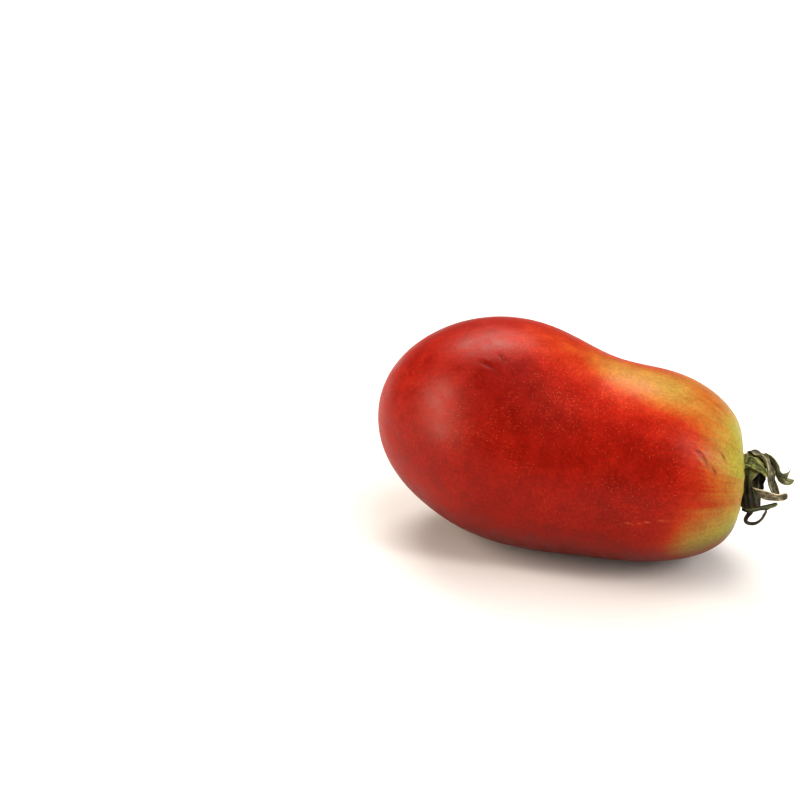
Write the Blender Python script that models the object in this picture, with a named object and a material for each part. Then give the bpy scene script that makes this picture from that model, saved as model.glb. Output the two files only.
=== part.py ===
"""A ripe plum tomato, as picked, with the dried calyx still on its stem end.

It lies on its side. Units are metres and +Z is up. +X runs from the blossom end to the stem
end. The origin is on the small flat spot that the fruit rests on, under its lowest point.
"""

from math import acos, atan, atan2, cos, exp, hypot, pi, radians, sin

import bmesh
import bpy
from mathutils import Matrix, Vector

MM = 0.001

# The fruit: a belly, a slightly narrower shoulder, and a dip along the top between them.
FRUIT_LENGTH = 69.0 * MM
BELLY_RADIUS = 22.3 * MM
SHOULDER_RADIUS = 20.4 * MM
BELLY_AT = 16.5 * MM  # from the blossom end, where the girth begins to narrow
SHOULDER_AT = 45.0 * MM  # from the blossom end, where it stops narrowing
BLOSSOM_FULLNESS = 0.92  # 1 is an ellipse, and less is blunter
SHOULDER_FULLNESS = 0.565
WAIST_DIP = 2.7 * MM
WAIST_AT = 44.0 * MM
WAIST_SPREAD = 11.3 * MM
STEM_LEAN = 0.06  # slope of the stem end, which faces up a little
LEAN_FROM = 35.0 * MM
BLOSSOM_TIP_HEIGHT = 0.6 * MM
BLOSSOM_TIP_SPREAD = 3.0 * MM
BLOSSOM_DROOP = 0.6 * MM
DROOP_LENGTH = 15.0 * MM
HOLLOW_DEPTH = 1.5 * MM  # the hollow that the calyx sits in
HOLLOW_SPREAD = 6.0 * MM
LOBES = 4
LOBE_HEIGHT = 0.25 * MM
LOBES_FROM = 35.0 * MM
REST_PRESS = 0.25 * MM  # how far the underside is pressed flat

# The calyx: a cup in the hollow, the stub of the pedicel in the cup, and six dry sepals.
CLEARANCE = 0.3 * MM
CUP_RADIUS = 4.4 * MM
CUP_HEIGHT = 1.8 * MM  # past the end of the fruit
CUP_EDGE = 0.7 * MM  # radius of its rounded front corner
DISH_DEPTH = 0.9 * MM  # the dish in the cup's front that the pedicel stands in
DISH_SHOULDER = 0.3 * MM  # how far the dish has sunk halfway to the pedicel
PEDICEL_RADIUS = 1.2 * MM
PEDICEL_LENGTH = 1.8 * MM
PEDICEL_NECK = 0.85  # radius of its narrowest place and of its end, as shares of its radius
PEDICEL_END = 0.95
PEDICEL_CROWN = 0.5
SEPAL_THICKNESS = 0.6 * MM
SEPAL_ROOT = 0.6 * MM  # past the end of the fruit
SEPAL_CHANNEL = 0.15  # depth of the channel along a sepal, as a share of its half width

# Each sepal's bearing round the stem, in degrees from the top towards -Y, its width at the
# root and at the tip, its twist from root to tip in degrees, and its path from the root in
# millimetres: out along the stem, away from the stem's line, and round it.
SEPALS = {
    "sepal_1": (
        (330.0, 3.2, 1.2, 20.0),
        ((0.7, 0.5, 0.2), (1.8, 0.9, 0.9), (3.0, 0.4, 1.5), (4.1, -0.4, 1.9), (4.8, -1.5, 2.1))
        + ((5.0, -2.9, 2.0), (5.2, -4.4, 1.6), (5.6, -5.7, 1.1), (6.0, -6.7, 0.4)),
    ),
    "sepal_2": (
        (18.0, 3.2, 1.0, 0.0),
        ((0.9, 0.3, 0.2), (2.0, 0.2, 0.5), (3.1, -0.4, 1.0), (3.8, -1.4, 1.5), (3.8, -2.5, 1.6))
        + ((3.3, -3.5, 1.2),),
    ),
    "sepal_3": (
        (92.0, 3.4, 1.3, 0.0),
        ((1.2, 0.5, -0.4), (2.5, 0.2, -0.8), (3.9, -0.4, -0.1), (5.0, -1.1, 0.8), (6.0, -1.8, 1.2))
        + ((6.8, -2.4, 1.1), (7.6, -3.0, 1.1)),
    ),
    "sepal_4": (
        (140.0, 2.8, 1.1, 0.0),
        ((1.1, 0.1, -0.4), (2.3, -0.3, -0.5), (3.6, -0.7, -0.3), (4.8, -1.2, 0.0), (5.4, -1.7, 0.4)),
    ),
    "sepal_5": (
        (182.0, 2.2, 0.8, 0.0),
        ((0.5, 0.6, 0.0), (0.4, 1.6, 0.0), (-0.1, 2.7, 0.0), (0.1, 3.4, 0.0), (0.9, 3.6, 0.0))
        + ((1.9, 3.2, -0.1), (2.8, 2.1, -0.2), (3.4, 0.7, -0.4), (3.7, -0.3, -0.6)),
    ),
    "sepal_6": (
        (268.0, 3.4, 1.0, 0.0),
        ((0.7, 0.9, 0.1), (2.3, 1.2, 0.8), (3.7, 0.3, 1.5), (4.8, -0.9, 1.2), (5.5, -1.7, 0.2))
        + ((6.6, -2.4, -0.1), (7.4, -2.9, -0.2), (8.2, -3.0, 0.4)),
    ),
}

# How finely each shape is divided.
FRUIT_SEGMENTS = 56
FRUIT_RINGS = 40
TURNED_STEPS = 32
UNDERSIDE_POINTS = 4
EDGE_POINTS = 4
SEPAL_SIDES = 8
SEPAL_STEPS_PER_POINT = 3

MERGE_DISTANCE = 0.001 * MM


def clear_scene():
    for leftover in list(bpy.data.objects):
        bpy.data.objects.remove(leftover)


def plain_material(name, colour, roughness):
    """A dielectric Principled material. colour is linear red, green and blue."""
    material = bpy.data.materials.new(name)
    material.use_nodes = True
    shader = material.node_tree.nodes["Principled BSDF"]
    shader.inputs["Base Color"].default_value = (*colour, 1.0)
    shader.inputs["Roughness"].default_value = roughness
    shader.inputs["Metallic"].default_value = 0.0
    return material


def mesh_object(name, shape, material):
    """Turns a bmesh into an object of that name, shaded smooth but for its sharp corners."""
    mesh = bpy.data.meshes.new(name)
    shape.to_mesh(mesh)
    shape.free()
    mesh.materials.append(material)
    mesh.shade_smooth()
    mesh.set_sharp_from_angle(angle=radians(50.0))
    piece = bpy.data.objects.new(name, mesh)
    bpy.context.collection.objects.link(piece)
    return piece


def smooth_step(value):
    """0 up to 0, 1 from 1 on, and a smooth rise between them."""
    value = min(max(value, 0.0), 1.0)
    return value * value * (3.0 - 2.0 * value)


def waist_share(along):
    """1 at the middle of the waist, fading to 0 on both sides of it."""
    return exp(-(((along - WAIST_AT) / WAIST_SPREAD) ** 2))


def spine_height(along):
    """Height of the fruit's middle line: a straight slope, with the waist's dip in it."""
    slope = (SHOULDER_RADIUS - BELLY_RADIUS) / (SHOULDER_AT - BELLY_AT)
    dip = 0.5 * WAIST_DIP * waist_share(along)
    droop = BLOSSOM_DROOP * (1.0 - smooth_step(along / DROOP_LENGTH))
    return BELLY_RADIUS + slope * (along - BELLY_AT) - dip - droop


def hollow_floor(radius):
    """Place of the stem hollow's floor along the stem, measured from the end of the fruit."""
    return -HOLLOW_DEPTH * exp(-((radius / HOLLOW_SPREAD) ** 2))


def fruit_point(latitude, turn):
    """A point of the skin. latitude is 0 at the blossom end and 1 at the stem.

    Each ring is a circle round the spine. Its radius is the girth times a power of the sine
    of the sweep, so the power sets how blunt an end is. The rings are spaced by the inverse
    of that power, which keeps them even over both ends.
    """
    if latitude < 0.5:
        sweep = 0.5 * pi * (2.0 * latitude) ** (1.0 / BLOSSOM_FULLNESS)
    else:
        sweep = pi - 0.5 * pi * (2.0 - 2.0 * latitude) ** (1.0 / SHOULDER_FULLNESS)
    along = 0.5 * FRUIT_LENGTH * (1.0 - cos(sweep))
    narrowing = smooth_step((along - BELLY_AT) / (SHOULDER_AT - BELLY_AT))
    girth = BELLY_RADIUS + (SHOULDER_RADIUS - BELLY_RADIUS) * narrowing
    towards_stem = smooth_step(along / FRUIT_LENGTH)
    fullness = BLOSSOM_FULLNESS + (SHOULDER_FULLNESS - BLOSSOM_FULLNESS) * towards_stem
    roundness = max(sin(sweep), 0.0)
    radius = girth * roundness**fullness - 0.5 * WAIST_DIP * waist_share(along) * roundness
    lobe_share = smooth_step((along - LOBES_FROM) / (FRUIT_LENGTH - LOBES_FROM)) * roundness
    radius += LOBE_HEIGHT * lobe_share * cos(LOBES * (turn - 0.25 * pi))
    side = radius * cos(turn)
    rise = radius * sin(turn)
    lean = STEM_LEAN * smooth_step((along - LEAN_FROM) / (FRUIT_LENGTH - LEAN_FROM))
    if latitude < 0.5:
        end_shape = -BLOSSOM_TIP_HEIGHT * exp(-((radius / BLOSSOM_TIP_SPREAD) ** 2))
    else:
        end_shape = hollow_floor(radius)
    return Vector((along + end_shape - lean * rise, side, spine_height(along) + rise))


def fruit_shape():
    """The fruit as a bmesh with its lowest point REST_PRESS under the origin, and that point."""
    shape = bmesh.new()
    bmesh.ops.create_uvsphere(shape, u_segments=FRUIT_SEGMENTS, v_segments=FRUIT_RINGS, radius=1.0)
    for vertex in shape.verts:
        latitude = 1.0 - acos(min(max(vertex.co.z, -1.0), 1.0)) / pi
        turn = atan2(vertex.co.y, vertex.co.x)
        vertex.co = fruit_point(latitude, turn)
    lowest = min((vertex.co.copy() for vertex in shape.verts), key=lambda point: point.z)
    rest = Vector((lowest.x, 0.0, lowest.z + REST_PRESS))
    bmesh.ops.translate(shape, verts=shape.verts, vec=-rest)
    return shape, rest


def make_fruit(material):
    """Cuts the underside flat at the resting plane and closes it. Gives the rest point too."""
    shape, rest = fruit_shape()
    cut = bmesh.ops.bisect_plane(
        shape,
        geom=shape.verts[:] + shape.edges[:] + shape.faces[:],
        dist=MERGE_DISTANCE,
        plane_co=(0.0, 0.0, 0.0),
        plane_no=(0.0, 0.0, -1.0),
        clear_outer=True,
    )
    rim = [item for item in cut["geom_cut"] if isinstance(item, bmesh.types.BMEdge)]
    bmesh.ops.edgeloop_fill(shape, edges=rim)
    bmesh.ops.recalc_face_normals(shape, faces=shape.faces)
    mesh_object("fruit", shape, material)
    return rest


def turned_shape(profile):
    """Spins a profile of (radius, out) points, which starts and ends on the axis, round +X."""
    shape = bmesh.new()
    points = [shape.verts.new((out, 0.0, radius)) for radius, out in profile]
    edges = [shape.edges.new(pair) for pair in zip(points, points[1:])]
    bmesh.ops.spin(
        shape,
        geom=points + edges,
        axis=(1.0, 0.0, 0.0),
        cent=(0.0, 0.0, 0.0),
        angle=2.0 * pi,
        steps=TURNED_STEPS,
        use_merge=True,
    )
    bmesh.ops.remove_doubles(shape, verts=shape.verts, dist=MERGE_DISTANCE)
    bmesh.ops.recalc_face_normals(shape, faces=shape.faces)
    return shape


def rounded_corner(radius, out):
    """Points round the outer front corner of a turned piece, from its side to its front."""
    quarter = [0.5 * pi * step / EDGE_POINTS for step in range(EDGE_POINTS + 1)]
    centre_radius = radius - CUP_EDGE
    centre_out = out - CUP_EDGE
    return [(centre_radius + CUP_EDGE * cos(a), centre_out + CUP_EDGE * sin(a)) for a in quarter]


def cup_profile():
    """The underside follows the hollow's floor, and the front is dished round the pedicel."""
    radii = [CUP_RADIUS * step / UNDERSIDE_POINTS for step in range(UNDERSIDE_POINTS + 1)]
    underside = [(radius, hollow_floor(radius) + CLEARANCE) for radius in radii]
    dish_floor = CUP_HEIGHT - DISH_DEPTH
    shoulder = (0.5 * (PEDICEL_RADIUS + CUP_RADIUS), CUP_HEIGHT - DISH_SHOULDER)
    foot = (PEDICEL_RADIUS + CLEARANCE, dish_floor)
    front = [*rounded_corner(CUP_RADIUS, CUP_HEIGHT), shoulder, foot, (0.0, dish_floor)]
    return underside + front


def pedicel_profile():
    """A stub that stands in the dish, with a neck halfway up and a domed broken end."""
    foot = CUP_HEIGHT - DISH_DEPTH + CLEARANCE
    end = foot + PEDICEL_LENGTH
    profile = [(0.0, foot), (PEDICEL_RADIUS, foot)]
    profile.append((PEDICEL_NECK * PEDICEL_RADIUS, 0.5 * (foot + end)))
    profile.append((PEDICEL_END * PEDICEL_RADIUS, 0.2 * foot + 0.8 * end))
    profile.append((PEDICEL_CROWN * PEDICEL_RADIUS, end))
    return [*profile, (0.0, end)]


def smooth_path(points):
    """A Catmull-Rom curve through the points, as closely spaced points."""
    padded = [2.0 * points[0] - points[1], *points, 2.0 * points[-1] - points[-2]]
    path = []
    for before, start, end, after in zip(padded, padded[1:], padded[2:], padded[3:]):
        for step in range(SEPAL_STEPS_PER_POINT):
            t = step / SEPAL_STEPS_PER_POINT
            bend = 2.0 * before - 5.0 * start + 4.0 * end - after
            turn = 3.0 * start - before - 3.0 * end + after
            path.append(start + 0.5 * t * ((end - before) + t * (bend + t * turn)))
    return path + [points[-1]]


def sepal_path(bearing, offsets):
    """The sepal's middle line in the calyx's own axes: out is +X, and up is +Z."""
    away = Vector((0.0, -sin(bearing), cos(bearing)))
    round_stem = Vector((0.0, -cos(bearing), -sin(bearing)))
    root_radius = CUP_RADIUS + CLEARANCE + 0.5 * SEPAL_THICKNESS
    root = Vector((SEPAL_ROOT, 0.0, 0.0)) + root_radius * away
    points = [root]
    for out, rise, swing in offsets:
        points.append(root + MM * (Vector((out, 0.0, 0.0)) + rise * away + swing * round_stem))
    return smooth_path(points), round_stem


def sepal_section(centre, across, through, half_width):
    """A flat oval with its edges lifted, so that the sepal is channelled."""
    section = []
    for step in range(SEPAL_SIDES):
        angle = 2.0 * pi * step / SEPAL_SIDES
        lift = SEPAL_CHANNEL * half_width * cos(angle) ** 2
        offset = half_width * cos(angle) * across
        offset += (0.5 * SEPAL_THICKNESS * sin(angle) + lift) * through
        section.append(centre + offset)
    return section


def sepal_shape(bearing, root_width, tip_width, twist, offsets):
    """Carries the section along the path, tapering and twisting, and closes both ends."""
    path, round_stem = sepal_path(bearing, offsets)
    shape = bmesh.new()
    rings = []
    for index, centre in enumerate(path):
        share = index / (len(path) - 1)
        tangent = (path[min(index + 1, len(path) - 1)] - path[max(index - 1, 0)]).normalized()
        across = (round_stem - round_stem.dot(tangent) * tangent).normalized()
        across = Matrix.Rotation(twist * share, 3, tangent) @ across
        half_width = 0.5 * (root_width + (tip_width - root_width) * share)
        section = sepal_section(centre, across, tangent.cross(across), half_width)
        rings.append([shape.verts.new(point) for point in section])
    for ring, following in zip(rings, rings[1:]):
        for side in range(SEPAL_SIDES):
            beside = (side + 1) % SEPAL_SIDES
            shape.faces.new((ring[side], ring[beside], following[beside], following[side]))
    shape.faces.new(rings[0][::-1])
    shape.faces.new(rings[-1])
    bmesh.ops.recalc_face_normals(shape, faces=shape.faces)
    return shape


def make_calyx(rest, cup_material, pedicel_material, sepal_material):
    """Builds the calyx in its own axes and hangs its pieces on one empty at the stem end."""
    stem = bpy.data.objects.new("stem_end", None)
    bpy.context.collection.objects.link(stem)
    stem.location = Vector((FRUIT_LENGTH, 0.0, spine_height(FRUIT_LENGTH))) - rest
    stem.rotation_euler = (0.0, -atan(STEM_LEAN), 0.0)
    pieces = [
        mesh_object("calyx_cup", turned_shape(cup_profile()), cup_material),
        mesh_object("pedicel", turned_shape(pedicel_profile()), pedicel_material),
    ]
    for name, ((bearing, root_width, tip_width, twist), offsets) in SEPALS.items():
        shape = sepal_shape(radians(bearing), root_width * MM, tip_width * MM, radians(twist), offsets)
        pieces.append(mesh_object(name, shape, sepal_material))
    for piece in pieces:
        piece.parent = stem


def main():
    clear_scene()
    skin = plain_material("ripe_skin", (0.43, 0.022, 0.009), 0.28)
    dark_green = plain_material("dark_calyx", (0.035, 0.032, 0.014), 0.75)
    dry_stalk = plain_material("dry_stalk", (0.075, 0.060, 0.030), 0.80)
    dry_leaf = plain_material("dry_sepal", (0.140, 0.130, 0.060), 0.80)
    rest = make_fruit(skin)
    make_calyx(rest, dark_green, dry_stalk, dry_leaf)


main()
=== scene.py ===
import math

import bpy
import numpy as np
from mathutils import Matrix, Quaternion, Vector


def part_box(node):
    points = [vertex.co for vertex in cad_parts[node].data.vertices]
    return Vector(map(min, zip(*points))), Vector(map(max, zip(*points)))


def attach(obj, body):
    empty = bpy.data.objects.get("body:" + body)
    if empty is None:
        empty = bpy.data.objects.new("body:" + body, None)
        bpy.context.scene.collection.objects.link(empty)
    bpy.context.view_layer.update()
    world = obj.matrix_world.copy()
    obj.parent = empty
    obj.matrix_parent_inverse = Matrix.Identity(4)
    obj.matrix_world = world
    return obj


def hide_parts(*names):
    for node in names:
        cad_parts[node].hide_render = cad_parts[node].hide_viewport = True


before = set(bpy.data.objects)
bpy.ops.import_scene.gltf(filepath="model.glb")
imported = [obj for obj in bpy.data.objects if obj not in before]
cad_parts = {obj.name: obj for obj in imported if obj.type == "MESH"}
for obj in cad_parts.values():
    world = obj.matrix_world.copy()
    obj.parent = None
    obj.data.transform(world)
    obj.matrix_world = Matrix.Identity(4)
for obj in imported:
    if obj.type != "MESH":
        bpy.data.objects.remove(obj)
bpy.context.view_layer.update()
print("frame loaded:", ", ".join(sorted(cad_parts)))

mm = 0.001
pi = math.pi


def smoothStep(x):
    # 3x^2 - 2x^3, held at 0 and 1 outside
    x = np.clip(x, 0.0, 1.0)
    return x * x * (3.0 - 2.0 * x)


def bell(distance, spread):
    # e to the minus (distance over spread) squared
    return np.exp(-((distance / spread) ** 2))


def turnGap(turn, at):
    # shortest angle between two turns, in degrees
    return (np.degrees(turn) - at + 180.0) % 360.0 - 180.0


def waves(a, b, seed, count=7, low=0.6, high=1.8):
    # a sum of plane sine waves with seeded directions and phases, scaled to about -1..1
    rng = np.random.default_rng(seed)
    heading = rng.uniform(0, 2 * pi, count)
    pace = rng.uniform(low, high, count)
    phase = rng.uniform(0, 2 * pi, count)
    total = np.zeros(np.broadcast(a, b).shape)
    for h, p, f in zip(heading, pace, phase):
        total = total + np.sin(p * (a * np.cos(h) + b * np.sin(h)) + f)
    return total / math.sqrt(count * 2.0)


def curveThrough(points, samples):
    # a Catmull-Rom curve: each cubic piece leaves a point along the line joining its two neighbours
    p = np.asarray(points, float)
    ends = np.vstack([2 * p[0] - p[1], p, 2 * p[-1] - p[-2]])
    t = np.linspace(0, len(p) - 1, samples)
    i = np.minimum(t.astype(int), len(p) - 2)
    f = (t - i)[:, None]
    a, b, c, d = ends[i], ends[i + 1], ends[i + 2], ends[i + 3]
    return 0.5 * (2 * b + (c - a) * f + (2 * a - 5 * b + 4 * c - d) * f ** 2
                  + (3 * b - a - 3 * c + d) * f ** 3)


def evenly(path, samples):
    # the same curve sampled at equal steps of its length
    step = np.linalg.norm(np.diff(path, axis=0), axis=1)
    run = np.concatenate([[0], np.cumsum(step)])
    at = np.linspace(0, run[-1], samples)
    return np.stack([np.interp(at, run, path[:, k]) for k in range(path.shape[1])], axis=1), at


def unit(v):
    # each vector divided by its own length
    return v / np.maximum(np.linalg.norm(v, axis=-1, keepdims=True), 1e-12)


def gridObject(name, grid, attributes=None):
    # rows x columns points, columns joined round, each end drawn to one pole at its ring's middle
    rows, columns = grid.shape[:2]
    points = np.concatenate([grid.reshape(-1, 3), grid[0].mean(0)[None], grid[-1].mean(0)[None]])
    index = np.arange(rows * columns).reshape(rows, columns)
    right = np.roll(index, -1, axis=1)
    quads = np.stack([index[:-1], right[:-1], right[1:], index[1:]], axis=-1).reshape(-1, 4)
    firstPole, lastPole = rows * columns, rows * columns + 1
    startFan = np.stack([right[0], index[0], np.full(columns, firstPole)], axis=-1)
    endFan = np.stack([index[-1], right[-1], np.full(columns, lastPole)], axis=-1)
    loops = np.concatenate([quads.ravel(), startFan.ravel(), endFan.ravel()])
    sizes = np.concatenate([np.full(len(quads), 4), np.full(2 * columns, 3)])
    starts = np.concatenate([[0], np.cumsum(sizes)[:-1]])
    mesh = bpy.data.meshes.new(name)
    mesh.vertices.add(len(points))
    mesh.vertices.foreach_set("co", (points * mm).astype(np.float32).ravel())
    mesh.loops.add(len(loops))
    mesh.loops.foreach_set("vertex_index", loops.astype(np.int32))
    mesh.polygons.add(len(starts))
    mesh.polygons.foreach_set("loop_start", starts.astype(np.int32))
    mesh.update(calc_edges=True)
    mesh.validate()
    mesh.polygons.foreach_set("use_smooth", np.ones(len(mesh.polygons), bool))
    # the faces point outwards when the volume that they sweep from the origin adds up to more than nothing
    corners = points[quads[:, :3]]
    facing = np.einsum("ij,ij->i", corners[:, 0], np.cross(corners[:, 1], corners[:, 2])).sum()
    if facing < 0:
        mesh.flip_normals()
    for label, values in (attributes or {}).items():
        size = values.shape[2] if values.ndim == 3 else 1
        poles = [values[end].reshape(-1, size).mean(0)[None] for end in (0, -1)]
        flat = np.concatenate([values.reshape(-1, size), *poles])
        kind, key = ("FLOAT_VECTOR", "vector") if size == 3 else ("FLOAT", "value")
        mesh.attributes.new(label, kind, "POINT").data.foreach_set(key, flat.astype(np.float32).ravel())
    thing = bpy.data.objects.new(name, mesh)
    bpy.context.scene.collection.objects.link(thing)
    return thing


def newFinish(name):
    # a new material, its node tree and its main shader
    finish = bpy.data.materials.new(name)
    finish.use_nodes = True
    tree = finish.node_tree
    shader = tree.nodes["Principled BSDF"]
    return finish, tree, shader


def put(tree, kind, links=None, **settings):
    # one node: settings are its properties, links its sockets (a value, or another node's socket)
    node = tree.nodes.new(kind)
    for key, value in settings.items():
        setattr(node, key, value)
    for key, value in (links or {}).items():
        socket = node.inputs[key]
        if isinstance(value, bpy.types.NodeSocket):
            tree.links.new(value, socket)
        else:
            socket.default_value = value
    return node


def maths(tree, operation, a, b, clamp=False):
    return put(tree, "ShaderNodeMath", {0: a, 1: b}, operation=operation, use_clamp=clamp).outputs[0]


def times(tree, a, b):
    return maths(tree, "MULTIPLY", a, b)


def plus(tree, a, b):
    return maths(tree, "ADD", a, b)


def swayed(tree, value, amount):
    # amount times (value - 0.5), so that a texture adds as much as it takes away
    return times(tree, maths(tree, "SUBTRACT", value, 0.5), amount)


def between(tree, value, low, high, toLow=0.0, toHigh=1.0):
    # value mapped from low..high to toLow..toHigh, with soft ends
    node = put(tree, "ShaderNodeMapRange", {"Value": value, "From Min": low, "From Max": high,
                                            "To Min": toLow, "To Max": toHigh},
               interpolation_type="SMOOTHSTEP")
    return node.outputs[0]


def noise(tree, where, scale, detail=4.0, roughness=0.55):
    # layers of noise, each finer and fainter than the last
    return put(tree, "ShaderNodeTexNoise", {"Vector": where, "Scale": scale, "Detail": detail,
                                            "Roughness": roughness}).outputs["Fac"]


def ramp(tree, value, stops):
    # colours blended one into the next along the value
    node = put(tree, "ShaderNodeValToRGB", {"Fac": value})
    band = node.color_ramp
    while len(band.elements) < len(stops):
        band.elements.new(0.5)
    for element, (place, colour) in zip(band.elements, stops):
        element.position = place
        element.color = (*colour, 1.0)
    return node.outputs["Color"]


def blendColour(tree, share, first, second):
    # first times (1 - share) plus second times share
    node = put(tree, "ShaderNodeMix", data_type="RGBA", blend_type="MIX")
    for key, value in (("Factor_Float", share), ("A_Color", first), ("B_Color", second)):
        socket = next(s for s in node.inputs if s.identifier == key)
        if isinstance(value, bpy.types.NodeSocket):
            tree.links.new(value, socket)
        else:
            socket.default_value = value if key == "Factor_Float" else (*value, 1.0)
    return next(s for s in node.outputs if s.identifier == "Result_Color")


def attribute(tree, name, output="Fac"):
    # a value that the mesh carries at each of its points
    return put(tree, "ShaderNodeAttribute", attribute_name=name).outputs[output]


def connect(tree, shader, colour, rough, height, strength, depth):
    # colour and roughness into the shader, and a bump as deep (m) as depth times strength
    bump = put(tree, "ShaderNodeBump", {"Height": height, "Strength": strength, "Distance": depth})
    for key, value in (("Base Color", colour), ("Roughness", rough), ("Normal", bump.outputs[0])):
        tree.links.new(value, shader.inputs[key])


# millimetres, unless it says otherwise; along is measured from the blossom end
fruitShape = {
    "length": 69.0, "bellyRadius": 22.3, "shoulderRadius": 20.4, "bellyAt": 16.5, "shoulderAt": 45.0,
    "blossomFullness": 0.92, "shoulderFullness": 0.565,
    "waistDip": 2.7, "waistAt": 44.0, "waistSpread": 11.3,
    "stemLean": 0.06, "leanFrom": 35.0,
    "tipHeight": 0.6, "tipSpread": 3.0, "droop": 0.6, "droopLength": 15.0,
    "hollowDepth": 1.5, "hollowSpread": 6.0, "stemFolds": 17, "stemFoldHeight": 0.06,
    # how much further out the stem end stands on one side, that side's turn, and the ring that it is on
    "fullerBy": 2.7, "fullerAt": 158, "fullerRadius": 8.0, "fullerSpread": 5.5,
    "lobes": 4, "lobeHeight": 0.36, "lobesFrom": 35.0,
    "rows": 320, "columns": 288,
    "unevenness": 0.16,       # slow swells of the skin
    "softTouch": 0.3, "leastGap": 0.02,     # how softly the underside flattens, and how near to the table
    # where the pale specks are thickest, along and turn, how far that reaches, and the blossom scar's radius
    "dustyAt": (44.0, 122), "dustyReach": (16.0, 30.0), "scarRadius": 1.1,
}

# along (mm from the blossom end), turn (degrees, 90 on top, 180 in front), reach along, reach round, strength
unripePatches = [
    (69.8, 90, 2.8, 400, 0.66),
    (68.0, 90, 4.5, 60, 0.30),
    (57.0, 94, 10.5, 25, 0.50),
    (62.0, 62, 8.0, 20, 0.42),
    (58.0, 106, 7.0, 14, 0.18),
    (50.0, 88, 6.5, 14, 0.26),
    (42.0, 86, 8.5, 24, 0.34),
    (31.0, 86, 7.5, 22, 0.24),
    (66.5, 132, 4.2, 30, 0.28),
    (66.0, 174, 4.6, 32, 0.22),
    (65.0, 208, 6.0, 26, 0.62),
    (61.0, 218, 4.5, 14, 0.24),
    (62.0, 330, 7.0, 40, 0.45),
    (50.0, 20, 8.0, 18, 0.22),
    # painted shade: this patch, of negative strength, darkens the upper front to a deeper red
    (27.0, 126, 8.0, 28, -0.16),
]

# along, turn, half length (mm), half width (mm), depth (mm), slant (degrees from the fruit's length)
creases = [
    (24.2, 121, 1.6, 0.42, 0.24, 18),
    (26.0, 115, 1.2, 0.34, 0.16, 40),
    (64.0, 141, 1.7, 0.38, 0.22, 62),
    (62.8, 136, 1.1, 0.32, 0.18, 20),
    (65.4, 147, 1.0, 0.32, 0.16, 80),
    (66.2, 133, 0.9, 0.30, 0.14, 70),
]

# along, turn, half length, half width, strength, slant of each pale rubbed line
scratches = [
    (56.5, 187, 3.6, 0.09, 0.7, -12),
    (52.0, 189, 1.4, 0.08, 0.6, -14),
    (61.2, 96, 0.9, 0.10, 0.5, 30),
]


def linesOn(lines, along, turn):
    # for each line, how far a point lies along it and beside it (mm), the line bent a little
    for at, atTurn, halfLength, halfWidth, amount, slant in lines:
        u = along - at
        v = np.radians(turnGap(turn, atTurn)) * 20.0
        c, s = math.cos(math.radians(slant)), math.sin(math.radians(slant))
        p, q = c * u + s * v, c * v - s * u
        yield p, q - 0.12 * p * p / max(halfLength, 1.0), halfLength, halfWidth, amount


def spineHeight(along):
    # a straight fall from belly to shoulder, less a bell at the waist, less a droop at the blossom end
    f = fruitShape
    slope = (f["shoulderRadius"] - f["bellyRadius"]) / (f["shoulderAt"] - f["bellyAt"])
    dip = 0.5 * f["waistDip"] * bell(along - f["waistAt"], f["waistSpread"])
    droop = f["droop"] * (1.0 - smoothStep(along / f["droopLength"]))
    return f["bellyRadius"] + slope * (along - f["bellyAt"]) - dip - droop


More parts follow.
